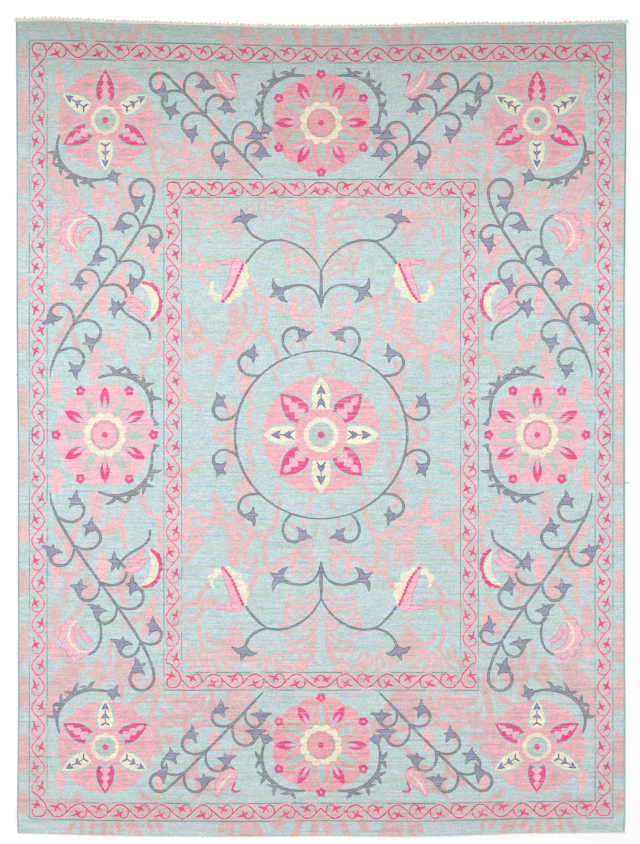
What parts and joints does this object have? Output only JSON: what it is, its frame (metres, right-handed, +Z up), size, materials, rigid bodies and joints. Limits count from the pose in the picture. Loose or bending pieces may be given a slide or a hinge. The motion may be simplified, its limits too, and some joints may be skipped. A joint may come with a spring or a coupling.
{
  "type": "arts and crafts rug",
  "caption": "Large rectangular hand-knotted wool rug lying flat, with a medallion and border pattern, bound long sides and short frayed fringe at both ends.",
  "frame": {"origin": "on the surface under the middle of the whole rug", "axes": "+X across the rug, +Y along it towards the end with the deeper fringe, +Z up out of the pile"},
  "size_m": [2.768, 3.7052, 0.008],
  "materials": {
    "wool_pile": "low cut wool pile, matt, with streaky aqua ground and pink pattern",
    "selvedge_yarn": "overcast wool yarn, matt",
    "warp_cotton": "undyed cotton, twisted and frayed, matt"
  },
  "bodies": {
    "root": {"pile_body": "wool_pile", "selvedge_left": "selvedge_yarn", "selvedge_right": "selvedge_yarn", "fringe_top": "warp_cotton", "fringe_bottom": "warp_cotton"}
  },
  "joints": []
}
